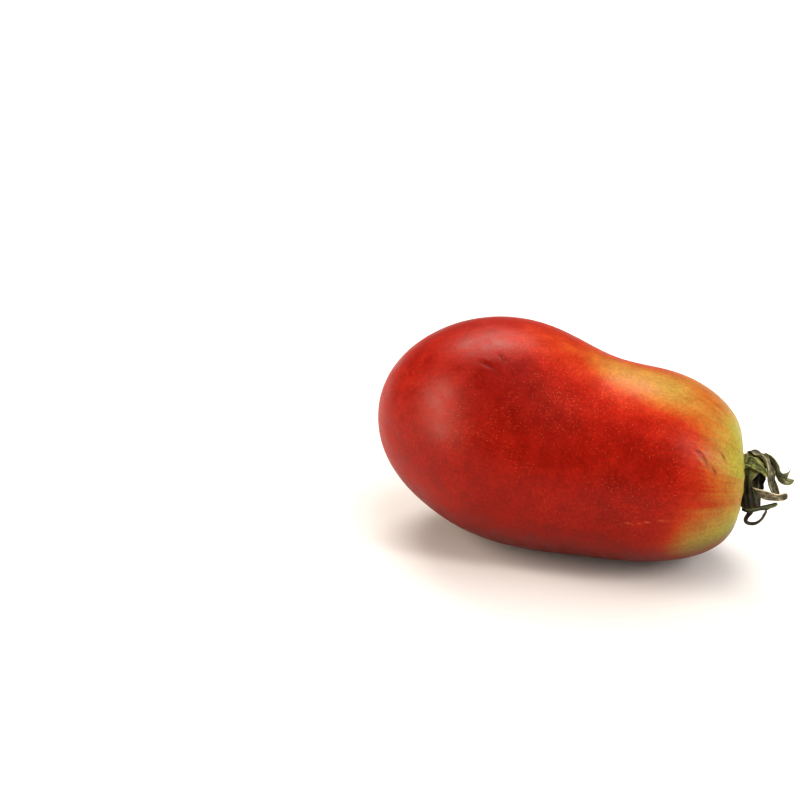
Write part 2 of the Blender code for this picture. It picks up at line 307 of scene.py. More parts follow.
def fruitGrid(rows, columns):
    # girth times the sine of the sweep to the power of its fullness, turned round a curved spine
    f = fruitShape
    latitude = np.linspace(0.0, 1.0, rows + 2)[1:-1][:, None]
    turn = np.linspace(0.0, 2 * pi, columns, endpoint=False)[None, :]
    near = 0.5 * pi * np.clip(2 * latitude, 0, 1) ** (1 / f["blossomFullness"])
    far = pi - 0.5 * pi * np.clip(2 - 2 * latitude, 0, 1) ** (1 / f["shoulderFullness"])
    sweep = np.where(latitude < 0.5, near, far)
    along = 0.5 * f["length"] * (1 - np.cos(sweep))
    narrowing = smoothStep((along - f["bellyAt"]) / (f["shoulderAt"] - f["bellyAt"]))
    girth = f["bellyRadius"] + (f["shoulderRadius"] - f["bellyRadius"]) * narrowing
    fullnessGain = f["shoulderFullness"] - f["blossomFullness"]
    fullness = f["blossomFullness"] + fullnessGain * smoothStep(along / f["length"])
    roundness = np.maximum(np.sin(sweep), 0)
    radius = girth * roundness ** fullness
    radius = radius - 0.5 * f["waistDip"] * bell(along - f["waistAt"], f["waistSpread"]) * roundness
    lobeShare = smoothStep((along - f["lobesFrom"]) / (f["length"] - f["lobesFrom"])) * roundness
    radius = radius + f["lobeHeight"] * lobeShare * np.cos(f["lobes"] * (turn - 0.25 * pi))
    # slow swells of the whole skin
    swell = waves(along / 9.0, 2.2 * np.cos(turn), 5) + waves(along / 7.0, 2.0 * np.sin(turn), 8)
    radius = radius + 0.5 * f["unevenness"] * swell * roundness
    # a crease is a groove between low raised banks
    dent = np.zeros_like(radius)
    for p, q, halfLength, halfWidth, depth in linesOn(creases, along, turn):
        dent = dent + depth * bell(p, halfLength) * (bell(q, halfWidth) - 0.45 * bell(q, 2.6 * halfWidth))
    radius = radius - dent
    side, rise = radius * np.cos(turn), radius * np.sin(turn)
    lean = f["stemLean"] * smoothStep((along - f["leanFrom"]) / (f["length"] - f["leanFrom"]))
    tip = -f["tipHeight"] * bell(radius, f["tipSpread"])
    # in the stem's hollow, fine folds run outwards from under the calyx
    folds = f["stemFoldHeight"] * bell(radius - 6.5, 3.0) * np.cos(f["stemFolds"] * turn + 2.0 * np.sin(3 * turn))
    oneSide = (0.5 + 0.5 * np.cos(turn - math.radians(f["fullerAt"]))) ** 2
    hollow = -f["hollowDepth"] * bell(radius, f["hollowSpread"]) * (1 - 0.5 * oneSide) + folds
    hollow = hollow + f["fullerBy"] * oneSide * bell(radius - f["fullerRadius"], f["fullerSpread"])
    endShape = np.where(latitude < 0.5, tip, hollow)
    x = along + endShape - lean * rise
    z = spineHeight(along) + rise
    points = np.stack(np.broadcast_arrays(x, side, z), axis=-1)
    return points, np.broadcast_to(along, radius.shape), np.broadcast_to(turn, radius.shape), radius


def unripeShare(along, turn):
    # the sum of oval bells of greenness, its edge broken by slow waves
    total = np.zeros_like(along)
    for at, atTurn, reachAlong, reachRound, strength in unripePatches:
        total = total + strength * bell(along - at, reachAlong) * bell(turnGap(turn, atTurn), reachRound)
    ragged = waves(along / 3.2, 4.0 * np.cos(turn) + 3.0 * np.sin(turn), 21)
    return total * (1.0 + 0.16 * ragged)


print("shaping the fruit")
fruitPoints, fruitAlong, fruitTurn, fruitRadius = fruitGrid(fruitShape["rows"], fruitShape["columns"])
fruitLow, fruitHigh = (np.array(corner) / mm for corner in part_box("fruit"))
shift = np.array([fruitLow[0] - fruitPoints[..., 0].min(), 0.0, fruitHigh[2] - fruitPoints[..., 2].max()])
fruitPoints = fruitPoints + shift
# the underside flattens softly just above the table: touch times the log of (1 + e to the height over touch)
touch, gap = fruitShape["softTouch"], fruitShape["leastGap"]
fruitPoints[..., 2] = touch * np.logaddexp(0.0, (fruitPoints[..., 2] - gap) / touch) + gap
crease = sum(bell(p, 0.9 * long) * bell(q, 0.5 * wide)
             for p, q, long, wide, _ in linesOn(creases, fruitAlong, fruitTurn))
scratched = sum(amount * bell(p, long) * bell(q, wide)
                for p, q, long, wide, amount in linesOn(scratches, fruitAlong, fruitTurn))
(dustyAlong, dustyTurn), (dustyLength, dustyWidth) = fruitShape["dustyAt"], fruitShape["dustyReach"]
fruit = gridObject("fruit_skin", fruitPoints, {
    "unripe": unripeShare(fruitAlong, fruitTurn),
    "crease": np.clip(crease, 0, 1), "scratched": np.clip(scratched, 0, 1),
    "dusty": bell(fruitAlong - dustyAlong, dustyLength) * bell(turnGap(fruitTurn, dustyTurn), dustyWidth),
    # painted shade: the skin is darker towards the bottom of the fruit
    "underside": smoothStep((-0.15 - np.sin(fruitTurn)) / 0.85),
    "tipScar": bell(np.where(fruitAlong < 30, fruitRadius, 99.0), fruitShape["scarRadius"]),
    "stemRing": smoothStep((fruitAlong - 52.0) / 15.0),
    "lengthwise": np.stack([6 * np.cos(fruitTurn), 6 * np.sin(fruitTurn), 0.04 * fruitAlong], axis=-1),
})


stemHeight = float(spineHeight(np.array(fruitShape["length"])))
stemEnd = np.array([fruitShape["length"], 0.0, stemHeight]) + shift
leanAngle = math.atan(fruitShape["stemLean"])
stemAxis = np.array([math.cos(leanAngle), 0.0, math.sin(leanAngle)])
stemRise = np.array([-math.sin(leanAngle), 0.0, math.cos(leanAngle)])
stemFar = np.array([0.0, 1.0, 0.0])


def fromStem(local, turned=0.0, lifted=0.0):
    # (out, far, up) in the stem's own axes, turned sideways and lifted off, to the row frame
    local = np.asarray(local, float)
    c, s = math.cos(math.radians(turned)), math.sin(math.radians(turned))
    out = c * local[..., :1] - s * local[..., 1:2] + lifted
    far = s * local[..., :1] + c * local[..., 1:2]
    return stemEnd + out * stemAxis + far * stemFar + local[..., 2:] * stemRise


cupShape = {
    # out, radius, and how much each point is carried by the height of the wall above it
    "profile": [(-1.1, 0.05, 0), (-1.0, 2.0, 0), (-0.85, 3.6, 0), (-0.5, 4.5, 0), (0.15, 4.95, 0),
                (0.9, 5.1, 0.1), (1.6, 5.0, 0.45), (2.0, 4.8, 0.8), (2.2, 4.5, 1.0), (2.15, 4.2, 1.0),
                (1.7, 4.2, 0.7), (1.2, 4.0, 0.3), (0.9, 3.2, 0), (0.8, 2.2, 0), (0.9, 1.2, 0), (0.9, 0.05, 0)],
    "steps": 600, "rows": 120, "columns": 256,
    "ribHeight": 0.20, "ribs": 20, "lobeSwell": 0.3, "raggedHeight": 0.14, "fineHeight": 0.07,
    # bearing, height (mm), width (degrees) of each scallop of the wall
    "wall": [(330, 1.5, 20), (14, 1.9, 22), (66, -0.8, 20), (104, 0.8, 20), (140, 0.9, 24), (182, 0.4, 14),
             (225, 1.2, 24), (268, 1.9, 34)],
    "curl": 0.30,
    "turned": 12.0, "lifted": 1.0,    # degrees towards the front, and mm off the fruit
    "foldGap": 1.0, "foldsAt": 95, "foldsWidth": 60.0,      # folds run round the front: mm, then degrees
    "lipAt": 66, "lipWidth": 26,      # the pale dry lip of the opening, degrees
    "footShadeAt": 75, "footShadeWidth": 45.0,  # the painted shade of the foot against the fruit, degrees
}

sepalShape = {
    "rootRadius": 5.0, "rootOut": 1.2, "rootFlare": 0.9,
    "steps": 600, "rows": 150, "columns": 40,
    "wander": 0.16, "pleat": 0.055, "ripple": 0.13,      # shares of the width
    "keel": 0.35,                                        # share of half the thickness
}

# bearing from the top towards the front, root width, tip width, twist (degrees), thickness, rolling from root
# to tip (radians), the side it rolls to, then the path as (out, rise, swing) from the root, all in mm
sepals = {
    "sepal_1": dict(
        bearing=330, root=2.7, tip=2.0, twist=62, thick=0.52, roll=(0.6, 1.4), side=1.0, seed=3,
        path=[(0.5, 0.2, 0.1), (1.5, 0.0, 0.7), (2.7, -0.3, 1.3), (3.5, -1.0, 1.8), (4.1, -2.0, 2.0),
              (4.4, -3.1, 1.9), (4.7, -4.4, 1.5), (5.3, -5.7, 1.0), (6.0, -6.9, 0.3)]),
    "sepal_2": dict(
        bearing=18, root=3.4, tip=1.4, twist=0, thick=0.48, roll=(0.8, 1.3), side=1.0, seed=5,
        path=[(0.9, 0.1, 0.1), (1.9, -0.1, 0.3), (2.8, -0.6, 0.5), (3.5, -1.2, 0.7), (4.0, -2.0, 0.9)]),
    "sepal_3": dict(
        bearing=92, root=2.0, tip=1.7, twist=0, thick=0.46, roll=(0.5, 1.4), side=1.0, seed=7, rootRadius=3.5,
        path=[(0.9, 0.3, -0.3), (2.2, 0.2, -0.7), (3.4, 0.5, -0.7), (4.6, 0.3, -0.1), (5.8, -0.4, 0.6),
              (6.8, -1.1, 0.8), (7.8, -1.9, 0.5)]),
    "sepal_4": dict(
        bearing=140, root=2.2, tip=1.2, twist=0, thick=0.42, roll=(0.5, 1.5), side=1.0, seed=9, rootRadius=4.7,
        path=[(1.1, 0.3, -0.2), (2.4, 0.0, -0.1), (3.8, -0.5, 0.2), (5.0, -1.0, 0.4), (6.1, -1.6, 0.6)]),
    "sepal_5": dict(
        bearing=182, root=1.7, tip=0.5, twist=0, thick=0.34, roll=(0.9, 2.3), side=-1.0, seed=11,
        path=[(0.8, 0.6, 0.0), (0.6, 1.6, 0.0), (0.1, 2.7, 0.0), (0.2, 3.5, 0.0), (1.0, 3.8, 0.0),
              (2.0, 3.5, -0.1), (3.0, 2.4, -0.2), (3.7, 0.9, -0.4), (4.0, -0.1, -0.6)]),
    "sepal_6": dict(
        bearing=268, root=4.2, tip=2.6, twist=60, thick=0.42, roll=(0.4, 0.9), side=1.0, seed=13,
        flap=(0.80, 0.11, 2.6),
        path=[(0.9, 0.5, 0.5), (2.4, 0.2, 1.9), (4.2, -1.8, 3.0), (5.0, -2.5, 1.9), (5.7, -3.0, 0.8),
              (6.5, -3.2, 0.2), (7.4, -3.2, 0.0), (8.3, -3.2, 0.7)]),
}


def cupGrid():
    # a thin-walled bell turned round the stem: scallops raise its rim, ribs and fine waves crumple it
    c = cupShape
    profile, run = evenly(curveThrough(c["profile"], c["steps"]), c["rows"])
    turn = np.linspace(0, 2 * pi, c["columns"], endpoint=False)[None, :]
    out, radius, carried = profile[:, :1], profile[:, 1:2], profile[:, 2:]
    wall = sum(height * bell(turnGap(turn, at), width) for at, height, width in c["wall"]) - 0.3
    ragged = c["raggedHeight"] * waves(7 * turn, 0.0, 35, low=0.8, high=2.4)
    lift = carried * (wall + ragged)
    edge = bell(radius - 4.8, 1.2)
    lobes = sum(bell(turnGap(turn, s["bearing"]), 20.0) for s in sepals.values())
    ribs = 1 - 2 * np.abs(np.sin(0.5 * c["ribs"] * turn + 0.9 * np.sin(2 * turn) + 0.3 * out)) ** 0.8
    # dried folds run round the front of the wall, one every foldGap
    frontward = bell(turnGap(turn, c["foldsAt"]), c["foldsWidth"])
    foldPhase = pi * (out + 0.5 * lift) / c["foldGap"] + 0.9 * waves(3 * turn, out, 33)
    folds = 1 - 2 * np.abs(np.sin(foldPhase)) ** 0.7
    ribs = ribs * (1 - frontward) + folds * frontward
    fine = waves(9 * turn, 2.2 * (out + lift), 31, low=0.7, high=2.6)
    radius = radius + edge * (c["lobeSwell"] * (lobes - 0.6) + c["ribHeight"] * ribs + c["fineHeight"] * fine)
    radius = radius - c["curl"] * np.maximum(lift, 0) ** 1.6
    radius = radius + 0.18 * carried * waves(4 * turn, 1.2 * lift, 37)
    out = out + lift - 0.08 * bell(radius - 2.2, 1.0) * np.cos(18 * turn + np.sin(3 * turn)) * (carried < 0.1)
    local = np.stack(np.broadcast_arrays(out, -radius * np.sin(turn), radius * np.cos(turn)), axis=-1)
    nearFruit = 1 - smoothStep((out - 0.5) / 1.7)
    masks = {
        "ribMask": 0.5 + 0.5 * ribs,
        "high": np.clip(lift / 2.0, 0, 1),
        # painted shade where the cup meets the fruit
        "foot": nearFruit * bell(turnGap(turn, c["footShadeAt"]), c["footShadeWidth"]),
        "lip": bell(carried - 1.0, 0.22) * bell(turnGap(turn, c["lipAt"]), c["lipWidth"]),
        # 0 on top to 1 below: the colours by it are painted light on top, painted shade lower down, then the cup's
        #                      own brown
        "litTopToShadeAndBrown": 0.5 - 0.5 * np.cos(turn - 0.25),
        # painted shade: the inner face of the cup is nearly black
        "insideShade": smoothStep((run / run[-1] - 0.52) / 0.06)[:, None],
    }
    masks = {label: np.broadcast_to(mask, local.shape[:2]) for label, mask in masks.items()}
    masks["lengthwise"] = np.stack(np.broadcast_arrays(6.4 * np.cos(turn), 6.4 * np.sin(turn), 0.3 * out), axis=-1)
    return fromStem(local, c["turned"], c["lifted"]), masks


def sepalGrid(s):
    # a flat oval bent on an arc of growing tightness, carried along a curved path and rippled
    c = sepalShape
    bearing = math.radians(s["bearing"])
    away = np.array([0.0, -math.sin(bearing), math.cos(bearing)])
    roundStem = np.array([0.0, -math.cos(bearing), -math.sin(bearing)])
    offsets = np.array([(0.2, -0.8, 0.0)] + s["path"])
    root = np.array([c["rootOut"], 0, 0]) + s.get("rootRadius", c["rootRadius"]) * away
    outward = np.array([1.0, 0.0, 0.0])
    points = root + offsets[:, :1] * outward + offsets[:, 1:2] * away + offsets[:, 2:] * roundStem
    path, run = evenly(curveThrough(points, c["steps"]), c["rows"])
    share = (run / run[-1])[:, None]
    tangent = unit(np.gradient(path, axis=0))
    across = unit(roundStem - (tangent @ roundStem)[:, None] * tangent)
    normal = np.cross(tangent, across)
    twist = np.radians(s["twist"]) * share + 0.25 * np.sin(5.0 * share + s["seed"])
    across, normal = (np.cos(twist) * across + np.sin(twist) * normal,
                      np.cos(twist) * normal - np.sin(twist) * across)
    narrowing = s["root"] + (s["tip"] - s["root"]) * smoothStep(share * 1.15) ** 0.8
    flare = c["rootFlare"] * bell(run[:, None], 1.2)
    if "flap" in s:
        at, spread, extra = s["flap"]     # a torn flap widens the blade: share of its length, spread, mm
        flare = flare + extra * bell(share - at, spread)
    blunt = np.sqrt(np.clip(1 - np.clip((share - 0.9) / 0.1, 0, 1) ** 2, 0.0, 1)) * 0.96 + 0.04
    wide = (narrowing + flare) * (1 + c["wander"] * waves(run[:, None] / 0.6, 0.0, s["seed"] + 40)) * blunt
    thick = s["thick"] * (1.15 - 0.4 * share) * (0.3 + 0.7 * blunt)
    roll = s["roll"][0] + (s["roll"][1] - s["roll"][0]) * smoothStep(share * 1.2)
    v = np.linspace(0, 2 * pi, c["columns"], endpoint=False)[None, :]
    a = -np.cos(v)
    swing = a * roll + 0.15 * waves(run[:, None] / 1.1, 0.0, s["seed"] + 50)
    arc = 0.5 * wide / roll
    ribs = 1 + 0.35 * np.cos(3 * pi * a) * (1 - a ** 2)
    pleat = c["pleat"] * wide * np.cos(3.5 * pi * a + 1.2 * np.sin(4 * share)) * (1 - a ** 2)
    keel = c["keel"] * bell(a, 0.2) * (np.sin(v) > 0)
    depth = 0.5 * thick * (np.sin(v) * ribs + keel)
    ripple = c["ripple"] * wide * a ** 2 * waves(run[:, None] / 0.55, 1.3 * a, s["seed"] + 60)
    reach = arc * np.sin(swing) + depth * np.sin(swing)
    height = s["side"] * (arc * (np.cos(swing) - 1) + depth * np.cos(swing) + ripple + pleat)
    local = path[:, None, :] + reach[..., None] * across[:, None, :] + height[..., None] * normal[:, None, :]
    shape = local.shape[:2]
    inner = np.broadcast_to((np.sin(v) < 0).astype(float), shape)
    return fromStem(local), {
        "along": np.broadcast_to(share, shape), "margin": np.broadcast_to(np.abs(a), shape), "inner": inner,
        "lengthwise": np.stack(np.broadcast_arrays(run[:, None] * 0.35, 2.2 * a, 1.5 * np.sin(v)), axis=-1),
    }


# where the stub starts and ends along the stem, its radius at the foot and at its waist, and its ribs, mm
pedicelShape = {
    "foot": 0.7, "end": 2.7, "radius": 1.2, "neck": 0.95,
    "ribs": 8, "ribShare": 0.07, "raggedHeight": 0.14,
    "steps": 300, "rows": 60, "columns": 72,
}


def pedicelGrid():
    # a waisted stub turned round the axis, ribbed, with a sunken ragged end
    c = pedicelShape
    foot, radius, neck, end = c["foot"], c["radius"], c["neck"], c["end"]
    profile = [(foot - 0.3, 0.05), (foot - 0.2, radius + 0.5), (foot + 0.35, radius + 0.1),
               (foot + 0.9, neck + 0.05), (end - 0.5, neck + 0.2), (end - 0.1, neck + 0.35), (end, neck + 0.2), (end - 0.25, neck - 0.15),
               (end - 0.6, 0.35), (end - 0.7, 0.03)]
    profile, run = evenly(curveThrough(profile, c["steps"]), c["rows"])
    turn = np.linspace(0, 2 * pi, c["columns"], endpoint=False)[None, :]
    out, radius = profile[:, :1], profile[:, 1:]
    ribs = np.cos(c["ribs"] * turn + np.sin(2 * turn)) * smoothStep(radius / 0.8)
    radius = radius * (1 + c["ribShare"] * ribs + 0.04 * np.cos(3 * turn + 1.0))
    rim = smoothStep((out - end + 0.6) / 0.5) * smoothStep((radius - 0.4) / 0.5)
    out = out + c["raggedHeight"] * rim * waves(2.5 * np.cos(turn), 2.5 * np.sin(turn), 71)
    local = np.stack(np.broadcast_arrays(out, -radius * np.sin(turn), radius * np.cos(turn)), axis=-1)
    brokenEnd = np.broadcast_to(smoothStep((run / run[-1] - 0.62) / 0.12)[:, None], local.shape[:2])
    return fromStem(local, cupShape["turned"], cupShape["lifted"]), {"rim": brokenEnd}


fuzzShape = {
    "perLeaf": 700, "onCup": 1200, "cupRows": 70,      # only the outer rows of the cup have hairs
    "length": (0.08, 0.30), "thickness": 0.012, "sunk": 0.04, "lean": 0.6, "seed": 17,
}


def fuzzOn(grid, count, seed):
    # thin three-sided spikes: each foot a random grid point, its tip that point plus a leaning outward normal
    rng = np.random.default_rng(seed)
    rows, columns = grid.shape[:2]
    i, j = rng.integers(2, rows - 2, count), rng.integers(0, columns, count)
    alongGrid, roundGrid = grid[i + 1, j] - grid[i - 1, j], grid[i, (j + 1) % columns] - grid[i, j - 1]
    outward = unit(np.cross(roundGrid, alongGrid))
    middle = grid.mean(axis=1)[i]
    outward = outward * np.sign(np.einsum("ij,ij->i", outward, grid[i, j] - middle))[:, None]
    heading = unit(outward + fuzzShape["lean"] * rng.normal(0, 1, (count, 3)))
    length = rng.uniform(*fuzzShape["length"], (count, 1))
    sideways = unit(np.cross(heading, unit(rng.normal(0, 1, (count, 3)))))
    other = np.cross(heading, sideways)
    foot = grid[i, j] - fuzzShape["sunk"] * heading
    thin = fuzzShape["thickness"]
    corner = [foot + thin * (math.cos(t) * sideways + math.sin(t) * other)
              for t in (0.0, 2 * pi / 3, 4 * pi / 3)]
    return np.stack([*corner, foot + length * heading], axis=1)


def fuzzObject(name, spikes):
    # four points to a spike, joined by three sides and a foot
    count = len(spikes)
    first = 4 * np.arange(count)[:, None]
    faces = np.concatenate([first + np.array(f) for f in ([0, 1, 3], [1, 2, 3], [2, 0, 3], [0, 2, 1])])
    mesh = bpy.data.meshes.new(name)
    mesh.from_pydata((spikes.reshape(-1, 3) * mm).tolist(), [], faces.tolist())
    thing = bpy.data.objects.new(name, mesh)
    bpy.context.scene.collection.objects.link(thing)
    return thing


print("shaping the calyx")
cupPoints, cupMasks = cupGrid()
cup = gridObject("calyx_base", cupPoints, cupMasks)
stub = gridObject("stalk_stub", *pedicelGrid())
leafGrids = {node: sepalGrid(s) for node, s in sepals.items()}
leaves = {node: gridObject(node.replace("sepal_", "dry_sepal_"), *made) for node, made in leafGrids.items()}
tufts = [fuzzOn(made[0], fuzzShape["perLeaf"], fuzzShape["seed"] + k)
         for k, made in enumerate(leafGrids.values())]
tufts.append(fuzzOn(cupPoints[:fuzzShape["cupRows"]], fuzzShape["onCup"], fuzzShape["seed"] + 50))
fuzz = fuzzObject("calyx_fuzz", np.concatenate(tufts))


skinColours = {
    "deepRed": (0.170, 0.0065, 0.0020),
    "red": (0.265, 0.0125, 0.0024),
    "orangeRed": (0.32, 0.030, 0.005),
    "orange": (0.33, 0.095, 0.016),
    "gold": (0.32, 0.165, 0.038),
    "yellowGreen": (0.28, 0.25, 0.050),
    "speck": (0.66, 0.30, 0.09),
    "cork": (0.22, 0.11, 0.045),
    # painted shade that darkens the creases
    "scar": (0.16, 0.08, 0.03),
    "paintedCreaseShade": (0.07, 0.006, 0.003),
    "scratch": (0.62, 0.20, 0.09),
}

skinTexture = {
    # how fine each pattern is, in waves or cells to the metre; the streaks go by the turn instead
    "blotches": 60.0, "mottle": 320.0, "grain": 1900.0, "streaks": 2.4,
    "dusting": 130.0, "specks": 3000.0, "freckles": 1100.0,
    # how much green every part starts with, and how far each pattern moves it
    "leastGreen": 0.12, "blotchSway": 0.26, "mottleSway": 0.12, "streakSway": 0.5,
    # how far the painted shade darkens the underside, and how strong the specks, freckles, scar and painted crease
    # shade are
    "undersideShade": 0.50, "speckStrength": 0.38, "freckleStrength": 0.50,
    "scarStrength": 0.9, "creaseShadeStrength": 0.75,
    "smoothest": 0.34, "roughest": 0.46, "scarRoughness": 0.4,
    "grainBump": 0.22, "bumpStrength": 0.6, "bumpDepth": 0.00006,
    "subsurface": 0.12, "subsurfaceRadius": (1.0, 0.22, 0.08), "subsurfaceScale": 0.003,
    "specularLevel": 0.24,
}


def skinFinish():
    # waxy skin: red that turns orange and yellow-green with the unripe share, specked, freckled and creased, with
    # painted shade in the creases and on the underside
    c, k = skinColours, skinTexture
    finish, tree, shader = newFinish("tomatoSkin")
    where = put(tree, "ShaderNodeTexCoord").outputs["Object"]
    blotch = noise(tree, where, k["blotches"], 3.0)
    mottle = noise(tree, where, k["mottle"], 3.0)
    grain = noise(tree, where, k["grain"], 2.0, 0.5)
    streak = noise(tree, attribute(tree, "lengthwise", "Vector"), k["streaks"], 5.0, 0.62)
    unripe = attribute(tree, "unripe")
    tipScar = attribute(tree, "tipScar")
    # how green the skin is: the patches, then slow blotches, a fine mottle, and lengthwise streaks near the stem
    green = plus(tree, unripe, swayed(tree, blotch, k["blotchSway"]))
    green = plus(tree, green, swayed(tree, mottle, k["mottleSway"]))
    green = plus(tree, green, swayed(tree, streak, times(tree, attribute(tree, "stemRing"), k["streakSway"])))
    green = maths(tree, "ADD", green, k["leastGreen"], clamp=True)
    colour = ramp(tree, green, [(0.0, c["deepRed"]), (0.22, c["red"]), (0.40, c["orangeRed"]),
                                (0.56, c["orange"]), (0.76, c["gold"]), (1.0, c["yellowGreen"])])
    # the lightness varies with the grain and the mottle, and painted shade darkens the underside
    light = times(tree, between(tree, grain, 0.35, 0.65, 0.90, 1.10), between(tree, mottle, 0.3, 0.7, 0.94, 1.06))
    light = times(tree, light, between(tree, attribute(tree, "underside"), 0.0, 1.0, 1.0, k["undersideShade"]))
    colour = put(tree, "ShaderNodeHueSaturation", {"Color": colour, "Value": light}).outputs[0]
    # pale pinprick specks, one in some of the cells, thickest where the skin is dusted
    cells = put(tree, "ShaderNodeTexVoronoi", {"Vector": where, "Scale": k["specks"]}, feature="F1")
    pick = put(tree, "ShaderNodeSeparateColor", {"Color": cells.outputs["Color"]}).outputs["Red"]
    dot = between(tree, cells.outputs["Distance"], 0.10, 0.30, 1.0, 0.0)
    dusted = times(tree, between(tree, noise(tree, where, k["dusting"], 3.0), 0.40, 0.62), 0.45)
    dusted = plus(tree, dusted, times(tree, attribute(tree, "dusty"), 0.45))
    chosen = between(tree, plus(tree, pick, dusted), 0.80, 1.45)
    colour = blendColour(tree, times(tree, times(tree, dot, chosen), k["speckStrength"]), colour, c["speck"])
    # corky brown freckles in the greener skin, and brown in the blossom scar
    freckle = between(tree, noise(tree, where, k["freckles"], 5.0, 0.75), 0.56, 0.68)
    corky = times(tree, times(tree, freckle, between(tree, unripe, 0.42, 0.75)), k["freckleStrength"])
    colour = blendColour(tree, corky, colour, c["cork"])
    colour = blendColour(tree, times(tree, tipScar, k["scarStrength"]), colour, c["scar"])
    # painted shade as dark lines in the creases, and pale fine scratches
    colour = blendColour(tree, times(tree, attribute(tree, "crease"), k["creaseShadeStrength"]), colour, c["paintedCreaseShade"])
    rubbed = times(tree, attribute(tree, "scratched"), between(tree, mottle, 0.40, 0.60, 0.35, 0.65))
    colour = blendColour(tree, rubbed, colour, c["scratch"])
    rough = between(tree, mottle, 0.3, 0.7, k["smoothest"], k["roughest"])
    rough = plus(tree, rough, times(tree, tipScar, k["scarRoughness"]))
    height = plus(tree, times(tree, grain, k["grainBump"]), mottle)
    connect(tree, shader, colour, rough, height, k["bumpStrength"], k["bumpDepth"])
    shader.inputs["Subsurface Weight"].default_value = k["subsurface"]
    shader.inputs["Subsurface Radius"].default_value = k["subsurfaceRadius"]
    shader.inputs["Subsurface Scale"].default_value = k["subsurfaceScale"]
    shader.inputs["Specular IOR Level"].default_value = k["specularLevel"]
    return finish


# each sepal's ridges in painted light, its plain colour, and its hollows in painted shade
sepalColours = {
    "sepal_1": ((0.54, 0.48, 0.29), (0.26, 0.24, 0.145), (0.044, 0.042, 0.028)),
    "sepal_2": ((0.40, 0.42, 0.12), (0.20, 0.22, 0.06), (0.036, 0.040, 0.014)),
    "sepal_3": ((0.66, 0.57, 0.38), (0.36, 0.31, 0.20), (0.070, 0.062, 0.040)),
    "sepal_4": ((0.21, 0.23, 0.11), (0.10, 0.11, 0.055), (0.018, 0.020, 0.012)),
    "sepal_5": ((0.12, 0.10, 0.075), (0.055, 0.048, 0.036), (0.012, 0.010, 0.008)),
    "sepal_6": ((0.42, 0.42, 0.24), (0.21, 0.215, 0.12), (0.034, 0.036, 0.022)),
}

sepalTexture = {
    "veins": 3.2, "blotches": 700.0, "fine": 4200.0,      # how fine each pattern is
    # how far painted shade darkens the inner face and the root, and how pale the margin gets
    "innerShade": 0.16, "rootShade": 0.75, "paleMargin": 0.45,
    "smoothest": 0.62, "roughest": 0.85, "bumpStrength": 0.9, "bumpDepth": 0.0002,
    "specularLevel": 0.35, "sheen": 0.15, "sheenRoughness": 0.5,
}


def sepalFinish(name, colours):
    # dry leaf: veins along it, hollows in painted shade, ridges in painted light, painted shade on the inner face
    # and at the root, and a pale margin
    k = sepalTexture
    lit, plain, dark = colours
    finish, tree, shader = newFinish(name)
    where = put(tree, "ShaderNodeTexCoord").outputs["Object"]
    veins = noise(tree, attribute(tree, "lengthwise", "Vector"), k["veins"], 5.0, 0.65)
    blotch = noise(tree, where, k["blotches"], 4.0, 0.6)
    fine = noise(tree, where, k["fine"], 4.0, 0.65)
    share = plus(tree, times(tree, veins, 0.7), times(tree, blotch, 0.5))
    # painted shade: the inner face of each sepal is darker
    share = maths(tree, "SUBTRACT", share, times(tree, attribute(tree, "inner"), k["innerShade"]))
    # lit and shaded copies of the sepal's colour, spread by the veins: painted light and shade
    colour = ramp(tree, share, [(0.40, dark), (0.55, plain), (0.72, lit)])
    # painted shade darkens the root where it grows out of the cup, and the margin is pale in places
    rootward = plus(tree, attribute(tree, "along"), times(tree, blotch, 0.2))
    colour = blendColour(tree, between(tree, rootward, 0.20, 0.50, k["rootShade"], 0.0), colour, dark)
    pale = tuple(min(1.0, 1.3 * v + 0.03) for v in lit)
    margin = times(tree, between(tree, attribute(tree, "margin"), 0.8, 1.0), between(tree, blotch, 0.4, 0.6))
    colour = blendColour(tree, times(tree, margin, k["paleMargin"]), colour, pale)
    rough = between(tree, veins, 0.3, 0.7, k["smoothest"], k["roughest"])
    height = plus(tree, veins, times(tree, fine, 0.35))
    connect(tree, shader, colour, rough, height, k["bumpStrength"], k["bumpDepth"])
    shader.inputs["Specular IOR Level"].default_value = k["specularLevel"]
    shader.inputs["Sheen Weight"].default_value = k["sheen"]
    shader.inputs["Sheen Roughness"].default_value = k["sheenRoughness"]
    return finish


cupColours = {
    "olive": (0.210, 0.212, 0.066), "moss": (0.046, 0.047, 0.016), "dark": (0.011, 0.010, 0.006),
    # the inside colour is painted shade
    "brown": (0.170, 0.088, 0.062), "pale": (0.400, 0.370, 0.210), "insideShade": (0.026, 0.024, 0.015),
    "blotches": 520.0, "streaks": 2.6, "fine": 4000.0,      # how fine each pattern is
    "smoothest": 0.45, "roughest": 0.75, "bumpStrength": 0.9, "bumpDepth": 0.0003,
}


